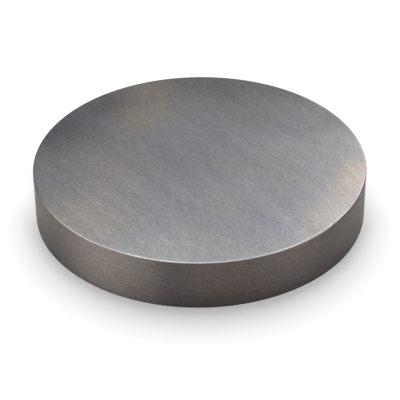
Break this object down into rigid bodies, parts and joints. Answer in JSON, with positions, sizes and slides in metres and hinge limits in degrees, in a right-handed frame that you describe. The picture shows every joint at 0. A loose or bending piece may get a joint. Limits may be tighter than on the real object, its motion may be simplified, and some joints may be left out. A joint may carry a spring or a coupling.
{
  "type": "sputtering target",
  "caption": "Flat round sputtering target: a solid metal disc with ground faces, a turned rim and lightly broken edges, which sits on the cathode of a coating chamber.",
  "frame": {"origin": "centre of the back face, which rests on the cathode", "axes": "+Z along the disc's axis, out of the sputtered face; X and Y lie in the back face, with the ground lay of the sputtered face running from -X +Y to +X -Y"},
  "size_m": [0.1, 0.1, 0.016],
  "materials": {
    "ground_metal": "satin, with a straight ground lay on the faces and a darker turned rim"
  },
  "bodies": {
    "root": {"target_disc": "ground_metal"}
  },
  "joints": []
}
